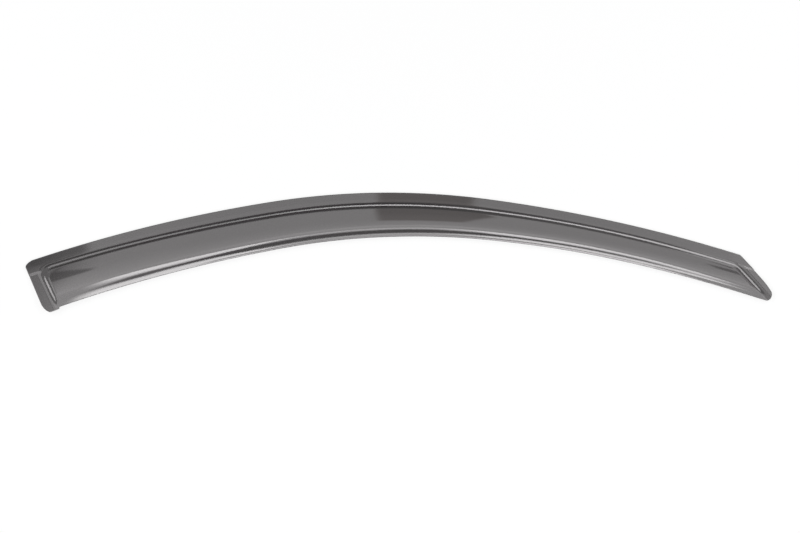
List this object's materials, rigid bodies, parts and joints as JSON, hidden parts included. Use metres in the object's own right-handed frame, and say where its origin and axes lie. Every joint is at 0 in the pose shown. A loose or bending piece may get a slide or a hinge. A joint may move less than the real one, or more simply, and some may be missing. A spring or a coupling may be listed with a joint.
{
  "type": "window rain deflector",
  "caption": "Slim curved front-door window deflector in smoked acrylic: tape flange, stepped-out panel, rolled lower lip, square rear end, pointed front end.",
  "frame": {"origin": "middle of the part's length and width, at the level of the surface it lies on", "axes": "the deflector lies face up: +X along the door towards the pointed front end, +Y towards the upper (door frame) edge, +Z out of the face, away from the car"},
  "size_m": [0.9566, 0.1546, 0.0137],
  "materials": {
    "smoked_acrylic": "polished, dark smoke tint, slightly see-through",
    "foam_tape": "matt grey-black acrylic foam"
  },
  "bodies": {
    "root": {"deflector": "smoked_acrylic", "foam_tape": "foam_tape"}
  },
  "joints": []
}
